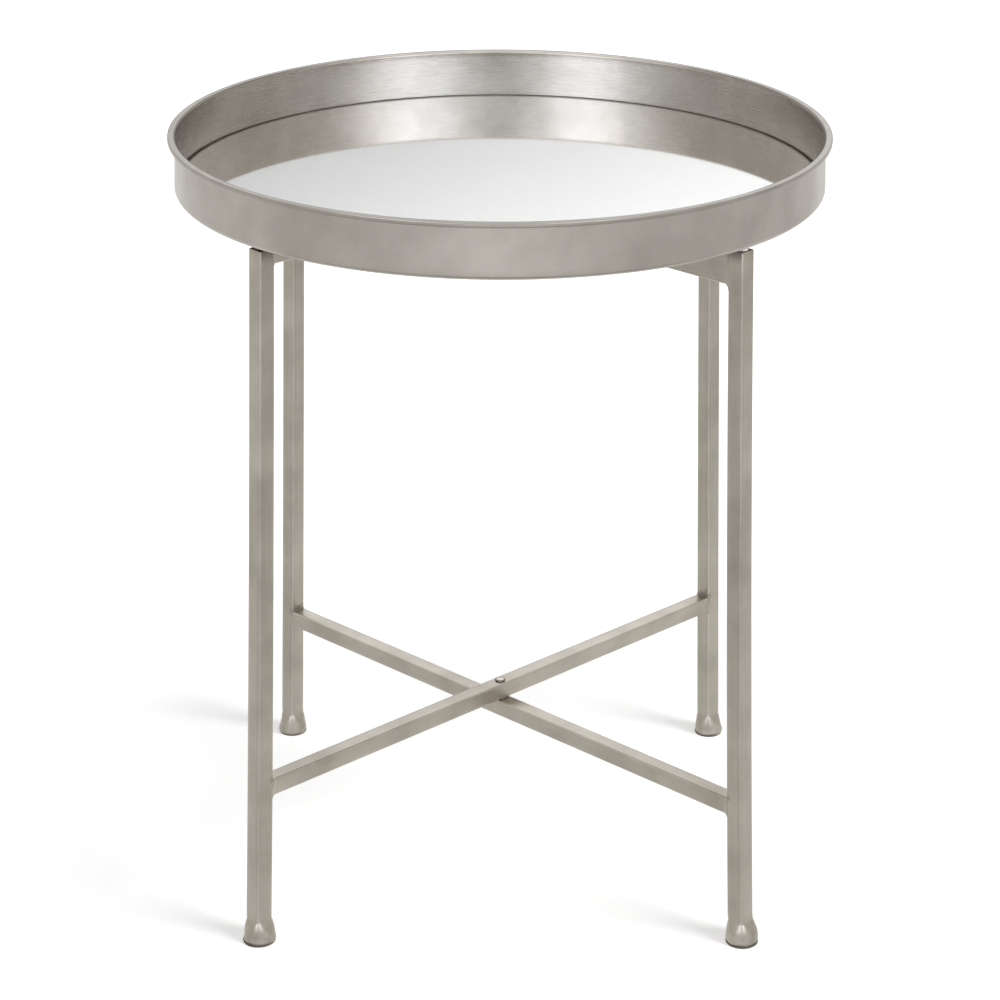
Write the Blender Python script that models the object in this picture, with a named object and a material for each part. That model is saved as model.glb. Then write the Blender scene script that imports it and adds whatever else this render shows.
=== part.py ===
"""Folding tray table: a round mirrored tray that lifts off a base of two crossing frames.

Units are metres, +Z is up, the front faces -Y. The origin is on the floor, under the tray's centre, and
the Z axis is the line on which the two frames pivot. Each frame stands in a vertical plane through
that axis: two square-tube legs joined by a top rail and by a stretcher. The slim-rail frame runs from
front left to back right and carries the upper stretcher. The deep-rail frame runs from front right to
back left and carries the lower stretcher.
"""

import math

import bmesh
import bpy

# Overall size.
TABLE_HEIGHT = 0.5086
RIM_RADIUS = 0.240
GAP = 0.0003  # air left between neighbouring pieces

# Tray pan, in sheet steel.
TRAY_DEPTH = 0.0388
SHEET = 0.0008
WALL_RADIUS = 0.2348  # outer face of the wall
CORNER_RADIUS = 0.003  # outer radius where the floor turns up
LIP_HEIGHT = 0.0033  # the folded lip's upright outer face
LIP_CORNER = 0.0009
LIP_RETURN = 0.0026  # how far the lip's lower edge turns back towards the wall
FLARE_RADIUS = 0.0019  # inner face, where the wall turns out to the lip
TRAY_STEPS = 72

# Mirror, on a thin film of adhesive.
ADHESIVE = 0.0003
ADHESIVE_RADIUS = 0.215
FILM_GAP = 0.0002
GLASS = 0.002
GLASS_RADIUS = 0.2324
GLASS_ARRIS = 0.0004  # the ground edge of the glass

# Frames.
HALF_SPREAD = math.radians(43.15)  # each frame's angle from the X axis
LEG_RADIUS = 0.2212  # pivot axis to the middle of a leg
LEG_TOP = 0.4655
LEG_SIDE = 0.0122
TUBE_WALL = 0.001
TUBE_CORNER = 0.001
SLIM_DEPTH = 0.0107
DEEP_DEPTH = 0.0240
STRETCHER_SIDE = 0.0107
STRETCHER_TOP = 0.1071  # top of the upper stretcher
WASHER = 0.0004
CROSSING = GAP + WASHER + GAP  # clearance between crossing members
NOTCH_HALF_LENGTH = 0.095  # of the deep rail, where the slim rail crosses it

# Feet, glides, plugs and bumpers.
FOOT_HEIGHT = 0.0145
FOOT_RADIUS = 0.0108
FOOT_WIDEST = 0.0035  # height at which the bell is widest
GLIDE = 0.0015
GLIDE_RADIUS = 0.0100
SPIGOT = 0.012
PLUG_DEPTH = 0.008
PLUG_SIDE = LEG_SIDE - 2 * TUBE_WALL - 2 * GAP
BUMPER_RADIUS = 0.0050

# Rivets.
SHANK_RADIUS = 0.0025
HEAD_RADIUS = 0.0038
HEAD_HEIGHT = 0.0016
WASHER_RADIUS = 0.0052
ROUND_STEPS = 24

TRAY_UNDERSIDE = TABLE_HEIGHT - TRAY_DEPTH
STRETCHER_PITCH = STRETCHER_SIDE + CROSSING
RAIL_HALF_LENGTH = LEG_RADIUS - LEG_SIDE / 2 - GAP


def clear_scene():
    for obj in list(bpy.data.objects):
        bpy.data.objects.remove(obj, do_unlink=True)


def material(name, colour, roughness, metallic):
    look = bpy.data.materials.new(name)
    look.use_nodes = True
    shader = look.node_tree.nodes["Principled BSDF"]
    shader.inputs["Base Color"].default_value = (*colour, 1)
    shader.inputs["Roughness"].default_value = roughness
    shader.inputs["Metallic"].default_value = metallic
    return look


def finished(name, bm, look, parent=None, location=(0, 0, 0), rotation=(0, 0, 0)):
    """Turns a bmesh into a named object with its own material."""
    bmesh.ops.recalc_face_normals(bm, faces=bm.faces)
    mesh = bpy.data.meshes.new(name)
    bm.to_mesh(mesh)
    bm.free()
    mesh.shade_smooth()
    mesh.set_sharp_from_angle(angle=math.radians(32))
    mesh.materials.append(material(name, *look))
    obj = bpy.data.objects.new(name, mesh)
    bpy.context.scene.collection.objects.link(obj)
    obj.parent = parent
    obj.location = location
    obj.rotation_euler = rotation
    return obj


def arc(centre, radius, start, end, steps):
    """Points of an arc in the (radius, height) plane, angles in degrees from the outward direction."""
    angles = (math.radians(start + (end - start) * i / steps) for i in range(steps + 1))
    return [(centre[0] + radius * math.cos(a), centre[1] + radius * math.sin(a)) for a in angles]


def turned(outline, steps):
    """A solid of revolution about Z. The outline starts and ends on the axis, or closes on itself."""
    bm = bmesh.new()
    verts = [bm.verts.new((r, 0, z)) for r, z in outline]
    edges = [bm.edges.new(pair) for pair in zip(verts, verts[1:])]
    if outline[0][0] > 0:
        edges.append(bm.edges.new((verts[-1], verts[0])))
    bmesh.ops.spin(
        bm, geom=verts + edges, cent=(0, 0, 0), axis=(0, 0, 1), angle=2 * math.pi, steps=steps, use_merge=True
    )
    bmesh.ops.remove_doubles(bm, verts=bm.verts, dist=1e-6)
    return bm


def rounded_rectangle(width, depth, corner):
    """Points round a rectangle whose corners are arcs of two steps."""
    points = []
    for turn, (sx, sy) in enumerate(((1, 1), (-1, 1), (-1, -1), (1, -1))):
        centre = (sx * (width / 2 - corner), sy * (depth / 2 - corner))
        points += arc(centre, corner, 90 * turn, 90 * turn + 90, 2)
    return points


def tube(width, depth, length):
    """A hollow rectangular tube with open ends, from z = 0 to length."""
    bm = bmesh.new()
    loops = []
    for inset, corner in ((0, TUBE_CORNER), (TUBE_WALL, TUBE_CORNER / 3)):
        outline = rounded_rectangle(width - 2 * inset, depth - 2 * inset, corner)
        verts = [bm.verts.new((x, y, 0)) for x, y in outline]
        loops += [bm.edges.new((verts[i - 1], verts[i])) for i in range(len(verts))]
    end = bmesh.ops.bridge_loops(bm, edges=loops)["faces"]
    grown = bmesh.ops.extrude_face_region(bm, geom=end)["geom"]
    moved = [item for item in grown if isinstance(item, bmesh.types.BMVert)]
    bmesh.ops.translate(bm, verts=moved, vec=(0, 0, length))
    return bm


def lofted(rings):
    """A closed solid through rings of points, each ring a list of (x, y, z), flat at both ends."""
    bm = bmesh.new()
    rows = [[bm.verts.new(point) for point in ring] for ring in rings]
    for low, high in zip(rows, rows[1:]):
        for i in range(len(low)):
            bm.faces.new((low[i - 1], low[i], high[i], high[i - 1]))
    bm.faces.new(rows[0])
    bm.faces.new(rows[-1])
    return bm


def squircle(half_width, power, z, count=16):
    """A ring that is a circle at power 2 and close to a square at power 12."""
    ring = []
    for i in range(count):
        a = 2 * math.pi * i / count
        size = (abs(math.cos(a)) ** power + abs(math.sin(a)) ** power) ** (-1 / power)
        ring.append((half_width * size * math.cos(a), half_width * size * math.sin(a), z))
    return ring


def cut(obj, cutter_mesh, label, parent, location, rotation=(0, 0, 0)):
    """Cuts one object with another, which stays as a hidden guide."""
    look = ((0.5, 0.5, 0.5), 0.5, 0)
    cutter = finished(f"{obj.name}_{label}", cutter_mesh, look, parent, location, rotation)
    cutter.hide_render = True
    cutter.display_type = "WIRE"
    modifier = obj.modifiers.new(label, "BOOLEAN")
    modifier.operation = "DIFFERENCE"
    modifier.solver = "EXACT"
    modifier.object = cutter


def pivot_bore(obj, parent, low, high):
    """The hole that a pivot rivet passes through, from low to high on the pivot axis."""
    radius = SHANK_RADIUS + GAP
    outline = [(0, high + 0.002), (radius, high + 0.002), (radius, low - 0.002), (0, low - 0.002)]
    cut(obj, turned(outline, ROUND_STEPS), "bore", parent, (0, 0, 0))


SATIN_NICKEL = ((0.50, 0.47, 0.42), 0.34, 1.0)
NICKEL_WALL = ((0.53, 0.50, 0.45), 0.30, 1.0)
MIRROR = ((0.88, 0.90, 0.89), 0.02, 1.0)
CLEAR_RUBBER = ((0.75, 0.76, 0.74), 0.25, 0.0)
DARK_PAD = ((0.05, 0.05, 0.05), 0.70, 0.0)
DARK_PLASTIC = ((0.04, 0.04, 0.04), 0.55, 0.0)
GLUE = ((0.80, 0.78, 0.72), 0.60, 0.0)
ZINC_WASHER = ((0.45, 0.43, 0.39), 0.40, 1.0)


def tray_pan(tray):
    """A flat floor, a rounded corner, an upright wall, and a lip folded out, down and back under."""
    z = TRAY_UNDERSIDE
    corner = (WALL_RADIUS - CORNER_RADIUS, z + CORNER_RADIUS)
    lip_bottom = TABLE_HEIGHT - LIP_HEIGHT
    flare = (WALL_RADIUS - SHEET + FLARE_RADIUS, TABLE_HEIGHT - FLARE_RADIUS)
    outline = [(0, z)]
    outline += arc(corner, CORNER_RADIUS, -90, 0, 3)
    outline += arc(flare, FLARE_RADIUS - SHEET, 180, 90, 3)
    outline += [(RIM_RADIUS - SHEET, TABLE_HEIGHT - SHEET), (RIM_RADIUS - SHEET, lip_bottom + SHEET)]
    outline += [(RIM_RADIUS - LIP_RETURN, lip_bottom + SHEET), (RIM_RADIUS - LIP_RETURN, lip_bottom)]
    outline += arc((RIM_RADIUS - LIP_CORNER, lip_bottom + LIP_CORNER), LIP_CORNER, -90, 0, 3)
    outline += arc((RIM_RADIUS - LIP_CORNER, TABLE_HEIGHT - LIP_CORNER), LIP_CORNER, 0, 90, 3)
    outline += arc(flare, FLARE_RADIUS, 90, 180, 4)
    outline += arc(corner, CORNER_RADIUS - SHEET, 0, -90, 3)
    outline += [(0, z + SHEET)]
    finished("tray_pan", turned(outline, TRAY_STEPS), NICKEL_WALL, tray)


def mirror(tray):
    """A disc of glass with a ground edge, on a thinner disc of adhesive."""
    film_bottom = TRAY_UNDERSIDE + SHEET + FILM_GAP
    film_top = film_bottom + ADHESIVE
    film = [(0, film_bottom), (ADHESIVE_RADIUS, film_bottom), (ADHESIVE_RADIUS, film_top), (0, film_top)]
    finished("mirror_adhesive", turned(film, TRAY_STEPS), GLUE, tray)
    bottom = film_top + FILM_GAP
    top = bottom + GLASS
    glass = [(0, bottom), (GLASS_RADIUS - GLASS_ARRIS, bottom), (GLASS_RADIUS, bottom + GLASS_ARRIS)]
    glass += [(GLASS_RADIUS, top - GLASS_ARRIS), (GLASS_RADIUS - GLASS_ARRIS, top), (0, top)]
    finished("mirror_glass", turned(glass, TRAY_STEPS), MIRROR, tray)


def leg(frame, name, x):
    """A leg tube with a plug in its top end, a bell foot in its bottom end, a glide and a bumper."""
    foot_bottom = GLIDE + GAP
    bottom = FOOT_HEIGHT + GAP
    place = (x, 0, 0)
    finished(f"{name}_leg", tube(LEG_SIDE, LEG_SIDE, LEG_TOP - bottom), SATIN_NICKEL, frame, (x, 0, bottom))

    bell = [squircle(FOOT_RADIUS - 0.0008, 2, foot_bottom), squircle(FOOT_RADIUS - 0.0002, 2, foot_bottom + 0.0006)]
    flare_steps = 6
    for i in range(flare_steps + 1):
        t = i / flare_steps
        half_width = FOOT_RADIUS - (FOOT_RADIUS - LEG_SIDE / 2) * t
        bell.append(squircle(half_width, 2 + 10 * t**3, FOOT_WIDEST + (FOOT_HEIGHT - FOOT_WIDEST) * t))
    bell.append(squircle(PLUG_SIDE / 2, 12, FOOT_HEIGHT))
    bell.append(squircle(PLUG_SIDE / 2, 12, FOOT_HEIGHT + SPIGOT))
    finished(f"{name}_foot", lofted(bell), SATIN_NICKEL, frame, place)

    pad = [(0, 0), (GLIDE_RADIUS - 0.0004, 0), (GLIDE_RADIUS, 0.0004), (GLIDE_RADIUS, GLIDE), (0, GLIDE)]
    finished(f"{name}_glide", turned(pad, ROUND_STEPS), DARK_PAD, frame, place)

    plug = [squircle(PLUG_SIDE / 2, 12, LEG_TOP - PLUG_DEPTH), squircle(PLUG_SIDE / 2, 12, LEG_TOP)]
    finished(f"{name}_plug", lofted(plug), DARK_PLASTIC, frame, place)

    low, high = LEG_TOP + GAP, TRAY_UNDERSIDE - GAP
    dome = [(0, low), (BUMPER_RADIUS, low), (BUMPER_RADIUS, low + 0.45 * (high - low))]
    dome += [(0.86 * BUMPER_RADIUS, low + 0.85 * (high - low)), (0.6 * BUMPER_RADIUS, high), (0, high)]
    finished(f"{name}_bumper", turned(dome, 16), CLEAR_RUBBER, frame, place)


def cross_member(frame, name, width, depth, top):
    """A tube laid between the legs of a frame, its top face at the given height, bored for a pivot."""
    bar = tube(depth, width, 2 * RAIL_HALF_LENGTH)
    place = (-RAIL_HALF_LENGTH, 0, top - depth / 2)
    obj = finished(name, bar, SATIN_NICKEL, frame, place, (0, math.pi / 2, 0))
    pivot_bore(obj, frame, top - depth, top)
    return obj


def notch(rail, frame):
    """The long notch in the deep rail's upper half, in which the slim rail lies and swings."""
    depth = SLIM_DEPTH + CROSSING
    bm = bmesh.new()
    bmesh.ops.create_cube(bm, size=1)
    bmesh.ops.scale(bm, vec=(2 * NOTCH_HALF_LENGTH, 2 * LEG_SIDE, 2 * depth), verts=bm.verts)
    cut(rail, bm, "notch", frame, (0, 0, LEG_TOP))


def rivet(frame, name, low, high):
    """A shank from low to high with a low domed head above and a formed tail below."""
    dome_radius = (HEAD_RADIUS**2 + HEAD_HEIGHT**2) / (2 * HEAD_HEIGHT)
    dome_angle = math.degrees(math.asin(HEAD_RADIUS / dome_radius))
    outline = [(0, low - HEAD_HEIGHT), (0.75 * HEAD_RADIUS, low - HEAD_HEIGHT)]
    outline += [(HEAD_RADIUS, low - 0.4 * HEAD_HEIGHT), (HEAD_RADIUS, low), (SHANK_RADIUS, low)]
    outline += [(SHANK_RADIUS, high)]
    centre = (0, high + HEAD_HEIGHT - dome_radius)
    outline += arc(centre, dome_radius, 90 - dome_angle, 90, 4)[:-1] + [(0, high + HEAD_HEIGHT)]
    finished(name, turned(outline, ROUND_STEPS), SATIN_NICKEL, frame)


def washer(frame, name, low):
    """A thin ring round a rivet, between two crossing members."""
    bore = SHANK_RADIUS + GAP
    outline = [(bore, low), (WASHER_RADIUS, low), (WASHER_RADIUS, low + WASHER), (bore, low + WASHER)]
    finished(name, turned(outline, ROUND_STEPS), ZINC_WASHER, frame)


def slim_rail_frame(frame):
    leg(frame, "front_left", -LEG_RADIUS)
    leg(frame, "back_right", LEG_RADIUS)
    cross_member(frame, "slim_top_rail", LEG_SIDE, SLIM_DEPTH, LEG_TOP)
    cross_member(frame, "upper_stretcher", STRETCHER_SIDE, STRETCHER_SIDE, STRETCHER_TOP)
    rivet(frame, "top_pivot_rivet", LEG_TOP - DEEP_DEPTH - GAP, LEG_TOP + GAP)
    washer(frame, "top_pivot_washer", LEG_TOP - SLIM_DEPTH - GAP - WASHER)
    tail = STRETCHER_TOP - STRETCHER_PITCH - STRETCHER_SIDE - GAP
    rivet(frame, "stretcher_pivot_rivet", tail, STRETCHER_TOP + GAP)
    washer(frame, "stretcher_pivot_washer", STRETCHER_TOP - STRETCHER_SIDE - GAP - WASHER)


def deep_rail_frame(frame):
    leg(frame, "front_right", LEG_RADIUS)
    leg(frame, "back_left", -LEG_RADIUS)
    rail = cross_member(frame, "deep_top_rail", LEG_SIDE, DEEP_DEPTH, LEG_TOP)
    notch(rail, frame)
    cross_member(frame, "lower_stretcher", STRETCHER_SIDE, STRETCHER_SIDE, STRETCHER_TOP - STRETCHER_PITCH)


def axis_empty(name, turn):
    """An empty on the pivot axis, turned to a frame's direction."""
    empty = bpy.data.objects.new(name, None)
    bpy.context.scene.collection.objects.link(empty)
    empty.rotation_euler = (0, 0, turn)
    return empty


def build():
    clear_scene()
    slim_rail_frame(axis_empty("slim_rail_frame_axis", HALF_SPREAD))
    deep_rail_frame(axis_empty("deep_rail_frame_axis", -HALF_SPREAD))
    tray = axis_empty("tray_axis", 0)
    tray_pan(tray)
    mirror(tray)


build()
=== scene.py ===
"""Looks of the folding tray table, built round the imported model. Metres, +Z up, front towards -Y.

The tray, mirror, legs, rails, stretchers, rivets and welds are modelled finely here and stand for their
plain counterparts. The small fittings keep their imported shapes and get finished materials.
"""

import math

import bmesh
import bpy
from mathutils import Matrix, Vector, noise


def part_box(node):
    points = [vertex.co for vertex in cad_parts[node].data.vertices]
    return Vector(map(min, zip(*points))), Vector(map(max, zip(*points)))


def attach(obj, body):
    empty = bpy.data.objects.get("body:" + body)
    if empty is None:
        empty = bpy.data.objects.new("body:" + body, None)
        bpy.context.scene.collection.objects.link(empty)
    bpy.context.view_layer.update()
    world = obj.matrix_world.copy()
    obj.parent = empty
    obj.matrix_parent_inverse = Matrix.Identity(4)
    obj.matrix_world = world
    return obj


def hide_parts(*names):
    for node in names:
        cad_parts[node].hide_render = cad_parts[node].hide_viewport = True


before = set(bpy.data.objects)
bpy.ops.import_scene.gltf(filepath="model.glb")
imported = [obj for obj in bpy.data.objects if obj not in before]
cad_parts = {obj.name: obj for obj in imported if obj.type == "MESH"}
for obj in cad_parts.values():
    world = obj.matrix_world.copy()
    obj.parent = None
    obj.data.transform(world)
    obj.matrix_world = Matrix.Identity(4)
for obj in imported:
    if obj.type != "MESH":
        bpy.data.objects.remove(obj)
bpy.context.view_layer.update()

MM = 0.001

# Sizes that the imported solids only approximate.
SHEET = 0.8 * MM
WALL_INSET = 5.2 * MM  # rim's outer edge to the wall's outer face
CORNER_RADIUS = 3.0 * MM
FLARE_RADIUS = 1.9 * MM
LIP_CORNER = 0.9 * MM
LIP_HEIGHT = 3.3 * MM
LIP_RETURN = 2.9 * MM
TRAY_OFF_CENTRE = Vector((-1.2 * MM, 0, 0))  # the tray only rests on its bumpers
TUBE_WALL = 1.0 * MM
TUBE_CORNER = 1.25 * MM
FOOT_TOP = 14.5 * MM
FOOT_WIDEST = 2.6 * MM
CORNER_REACH = math.sqrt(2)
PAD_HEIGHT = 1.3 * MM
BAR_CORNER = 1.1 * MM
STRETCHER_EXTRA = (0.25 * MM, 0.22 * MM, 0.2 * MM)
SILVERING = 0.1 * MM
TRAY_STEPS = 256

SLIM_BODY, DEEP_BODY, TRAY_BODY = "slim_rail_frame", "deep_rail_frame", "tray"


# Placing pieces -------------------------------------------------------------------------------------


def node_centre(node):
    low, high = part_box(node)
    return (low + high) / 2


def local_size(node, turn):
    """A node's lowest and highest corners in axes turned about Z to its frame."""
    back = Matrix.Rotation(-turn, 3, "Z")
    points = [back @ vertex.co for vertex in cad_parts[node].data.vertices]
    low = Vector([min(p[i] for p in points) for i in range(3)])
    high = Vector([max(p[i] for p in points) for i in range(3)])
    return low, high


def piece(name, bm, look, body, replaces=(), matrix=None, smooth_angle=35):
    """Turns a bmesh into a finished piece that rides on a body."""
    bmesh.ops.recalc_face_normals(bm, faces=bm.faces)
    mesh = bpy.data.meshes.new(name)
    bm.to_mesh(mesh)
    bm.free()
    mesh.shade_smooth()
    mesh.set_sharp_from_angle(angle=math.radians(smooth_angle))
    mesh.materials.append(look)
    obj = bpy.data.objects.new(name, mesh)
    bpy.context.scene.collection.objects.link(obj)
    if matrix is not None:
        obj.matrix_world = matrix
    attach(obj, body)
    if replaces:
        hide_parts(*replaces)
    return obj


# Mesh tools -----------------------------------------------------------------------------------------


def arc(centre, radius, start, end, steps):
    """Points of an arc in the (radius, height) plane, angles in degrees from the outward direction."""
    angles = (math.radians(start + (end - start) * i / steps) for i in range(steps + 1))
    return [(centre[0] + radius * math.cos(a), centre[1] + radius * math.sin(a)) for a in angles]


def line(start, end, steps):
    """Points from start to end, leaving out both ends."""
    return [
        (start[0] + (end[0] - start[0]) * i / steps, start[1] + (end[1] - start[1]) * i / steps)
        for i in range(1, steps)
    ]


def sheet_outline(path, thickness):
    """Both faces of a sheet that follows a path, as one closed outline."""
    sides = ([], [])
    for i, point in enumerate(path):
        before, after = path[max(i - 1, 0)], path[min(i + 1, len(path) - 1)]
        along = Vector((after[0] - before[0], after[1] - before[1])).normalized()
        for side, offset in zip(sides, (thickness / 2, -thickness / 2)):
            side.append((point[0] + offset * along.y, point[1] - offset * along.x))
    return sides[0] + sides[1][::-1]


def turned(outline, steps, ripple=0.0):
    """A solid of revolution about Z with its outline's running length stored as "run". Points on the
    axis become one vertex each. A ripple moves the outline in and out by a slow wave round the turn."""
    bm = bmesh.new()
    run_layer = bm.verts.layers.float.new("run")
    closed_on_axis = outline[0][0] == 0
    runs = [0.0]
    for a, b in zip(outline, outline[1:]):
        runs.append(runs[-1] + math.hypot(b[0] - a[0], b[1] - a[1]))
    rows = []
    for (radius, z), run in zip(outline, runs):
        row = []
        for i in range(steps if radius > 0 else 1):
            a = 2 * math.pi * i / steps
            wave = ripple * noise.noise(Vector((2 * math.cos(a), 2 * math.sin(a), 40 * z)))
            r = radius + wave if radius > 0 else 0
            vert = bm.verts.new((r * math.cos(a), r * math.sin(a), z))
            vert[run_layer] = run
            row.append(vert)
        rows.append(row)
    pairs = list(zip(rows, rows[1:])) if closed_on_axis else list(zip(rows, rows[1:] + rows[:1]))
    for low, high in pairs:
        for i in range(steps):
            corners = [low[i % len(low)], low[(i + 1) % len(low)]]
            corners += [high[(i + 1) % len(high)], high[i % len(high)]]
            unique = list(dict.fromkeys(corners))
            if len(unique) > 2:
                bm.faces.new(unique)
    return bm


ARC_STEPS = 6
FLAT_STEPS = 4


def rounded_outline(half_x, half_y, corner):
    """(x, y, edge) points round a rounded rectangle, where edge is 1 on the corners and 0 on the flats."""
    points = []
    for turn, (sx, sy) in enumerate(((1, 1), (-1, 1), (-1, -1), (1, -1))):
        centre = (sx * (half_x - corner), sy * (half_y - corner))
        bend = arc(centre, corner, 90 * turn, 90 * turn + 90, ARC_STEPS)
        fade = [min(i, ARC_STEPS - i) / (ARC_STEPS / 2) for i in range(ARC_STEPS + 1)]
        points += [(x, y, min(1, 1.5 * f)) for (x, y), f in zip(bend, fade)]
        following = ((-1, 1), (-1, -1), (1, -1), (1, 1))[turn]
        next_centre = (following[0] * (half_x - corner), following[1] * (half_y - corner))
        a = math.radians(90 * turn + 90)
        start = (centre[0] + corner * math.cos(a), centre[1] + corner * math.sin(a))
        end = (next_centre[0] + corner * math.cos(a), next_centre[1] + corner * math.sin(a))
        points += [(x, y, 0) for x, y in line(start, end, FLAT_STEPS)]
    return points


def lofted(rings, stains):
    """A closed solid through rings of (x, y, z, edge) points, flat at both ends. Stains are the heat
    marks of the same points."""
    bm = bmesh.new()
    edge_layer = bm.verts.layers.float.new("edge")
    stain_layer = bm.verts.layers.float.new("stain_and_shade")
    rows = []
    for ring, marks in zip(rings, stains):
        row = []
        for (x, y, z, edge), stain_and_shade in zip(ring, marks):
            vert = bm.verts.new((x, y, z))
            vert[edge_layer], vert[stain_layer] = edge, stain_and_shade
            row.append(vert)
        rows.append(row)
    for low, high in zip(rows, rows[1:]):
        for i in range(len(low)):
            bm.faces.new((low[i - 1], low[i], high[i], high[i - 1]))
    bm.faces.new(rows[0])
    bm.faces.new(rows[-1])
    return bm


def smooth(t):
    t = max(0.0, min(1.0, t))
    return t * t * (3 - 2 * t)


# Materials ------------------------------------------------------------------------------------------


def put(tree, kind, inputs=None, **settings):
    """Adds a shader node, sets its properties, and sets or links its inputs."""
    made = tree.nodes.new(kind)
    for key, value in settings.items():
        setattr(made, key, value)
    for key, value in (inputs or {}).items():
        if isinstance(value, bpy.types.NodeSocket):
            tree.links.new(value, made.inputs[key])
        else:
            made.inputs[key].default_value = value
    return made


def new_material(name):
    look = bpy.data.materials.new(name)
    look.use_nodes = True
    return look, look.node_tree, look.node_tree.nodes["Principled BSDF"]


def math_node(tree, operation, a, b=0.0, clamp=False):
    return put(tree, "ShaderNodeMath", {0: a, 1: b}, operation=operation, use_clamp=clamp).outputs[0]


def ranged(tree, value, low, high, to_low=0.0, to_high=1.0):
    inputs = {"Value": value, "From Min": low, "From Max": high, "To Min": to_low, "To Max": to_high}
    return put(tree, "ShaderNodeMapRange", inputs).outputs[0]


def mixed(tree, factor, a, b, blend="MIX"):
    """Mixes two colours, given as sockets or (r, g, b)."""
    a, b = [c if isinstance(c, bpy.types.NodeSocket) else (*c, 1) for c in (a, b)]
    made = put(tree, "ShaderNodeMix", {0: factor, 6: a, 7: b}, data_type="RGBA", blend_type=blend)
    return made.outputs[2]


def noise_of(tree, vector, scale, detail=2.0, roughness=0.5):
    inputs = {"Vector": vector, "Scale": scale, "Detail": detail, "Roughness": roughness}
    return put(tree, "ShaderNodeTexNoise", inputs).outputs[0]


def stretched(tree, vector, scale):
    made = put(tree, "ShaderNodeMapping", {"Vector": vector, "Scale": scale})
    return made.outputs[0]


# The tones below are for worn edges with a painted highlight along the corners, for weld heat marks and
# painted shade round the rivets, and for painted shade on the tray's lip.
WORN_AND_HIGHLIGHT_TONE = (0.80, 0.77, 0.72)
HEAT_AND_SHADE_TONE = (0.19, 0.165, 0.13)
PAINTED_SHADE_TONE = (0.10, 0.095, 0.08)


def brushed_metal(name, grain, deep, light, roughness, anisotropy, tangent, brushing=1.0):
    """Satin nickel-plated steel: directional grain, slow warm and cool mottling, brighter worn edges that
    also carry a painted highlight.

    grain(tree, position) gives the vector in which the brushing is long along some axes and fine
    across the others. brushing is how strongly it shows. A mesh's own "edge" values say where it is worn
    bright and carries a painted highlight along its corners. Its heat-mark values say where weld heat
    marked it, or where painted shade darkens a rivet's rim and tail. Its lip values say where painted shade
    darkens the tray's lip."""
    look, tree, shader = new_material(name)
    position = put(tree, "ShaderNodeTexCoord").outputs["Object"]
    vector = grain(tree, position)
    coarse = noise_of(tree, vector, 1.0, 3.0, 0.6)
    fine = noise_of(tree, vector, 4.0, 2.0, 0.6)
    streaks = math_node(tree, "MULTIPLY", math_node(tree, "ADD", coarse, fine), 0.5)
    patches = noise_of(tree, position, 26.0, 3.0, 0.55)
    share = 0.4 * brushing
    lines = math_node(tree, "MULTIPLY", streaks, share)
    clouds = math_node(tree, "MULTIPLY", patches, 1 - share)
    tone = math_node(tree, "ADD", lines, clouds)
    colour = mixed(tree, ranged(tree, tone, 0.36, 0.64), deep, light)
    hue = ranged(tree, noise_of(tree, position, 14.0, 2.0), 0.35, 0.65)
    colour = mixed(tree, 0.4, colour, mixed(tree, hue, (1.0, 0.965, 0.95), (0.985, 1.0, 0.965)), "MULTIPLY")
    # Brighter edges: wear, and a painted highlight along the corners.
    edge = put(tree, "ShaderNodeAttribute", attribute_name="edge").outputs["Fac"]
    wear_and_highlight = math_node(tree, "MULTIPLY", edge, ranged(tree, patches, 0.3, 0.7, 0.35, 1.0))
    colour = mixed(tree, math_node(tree, "MULTIPLY", wear_and_highlight, 0.35), colour, WORN_AND_HIGHLIGHT_TONE)
    # Darker marks: weld heat, and painted shade round the rivets.
    heat_and_shade = put(tree, "ShaderNodeAttribute", attribute_name="stain_and_shade").outputs["Fac"]
    blotch = ranged(tree, noise_of(tree, position, 420.0, 3.0, 0.65), 0.38, 0.60)
    heat_and_shade = math_node(tree, "MULTIPLY", heat_and_shade, ranged(tree, blotch, 0.0, 1.0, 0.35, 1.0), clamp=True)
    colour = mixed(tree, heat_and_shade, colour, HEAT_AND_SHADE_TONE)
    # Painted shade: the tray's lip is mixed towards a dark tone.
    painted_shade = put(tree, "ShaderNodeAttribute", attribute_name="painted_shade").outputs["Fac"]
    colour = mixed(tree, painted_shade, colour, PAINTED_SHADE_TONE)
    smoothest, roughest = roughness - 0.03 * brushing, roughness + 0.04 * brushing
    rough = ranged(tree, streaks, 0.3, 0.7, smoothest, roughest)
    rough = math_node(tree, "SUBTRACT", rough, math_node(tree, "MULTIPLY", wear_and_highlight, 0.05))
    rough = math_node(tree, "ADD", rough, math_node(tree, "MULTIPLY", heat_and_shade, 0.8))
    relief = {"Height": streaks, "Strength": 0.08 * brushing, "Distance": 0.03 * MM}
    bump = put(tree, "ShaderNodeBump", relief)
    tree.links.new(colour, shader.inputs["Base Color"])
    tree.links.new(rough, shader.inputs["Roughness"])
    tree.links.new(bump.outputs[0], shader.inputs["Normal"])
    shader.inputs["Metallic"].default_value = 1.0
    shader.inputs["Anisotropic"].default_value = anisotropy
    if tangent is not None:
        made = put(tree, "ShaderNodeTangent", direction_type="RADIAL", axis=tangent)
        tree.links.new(made.outputs[0], shader.inputs["Tangent"])
    return look


def grain_along_x(tree, position):
    return stretched(tree, position, (9.0, 900.0, 900.0))


def grain_along_z(tree, position):
    return stretched(tree, position, (900.0, 900.0, 9.0))


def grain_round(tree, position):
    """Brushing that runs round the tray: slow round the circle, quick along the sheet's outline."""
    run = put(tree, "ShaderNodeAttribute", attribute_name="run").outputs["Fac"]
    parts = put(tree, "ShaderNodeSeparateXYZ", {0: position})
    inputs = {0: parts.outputs[0], 1: parts.outputs[1], 2: math_node(tree, "MULTIPLY", run, 110.0)}
    joined = put(tree, "ShaderNodeCombineXYZ", inputs).outputs[0]
    return stretched(tree, joined, (9.0, 9.0, 9.0))


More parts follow.
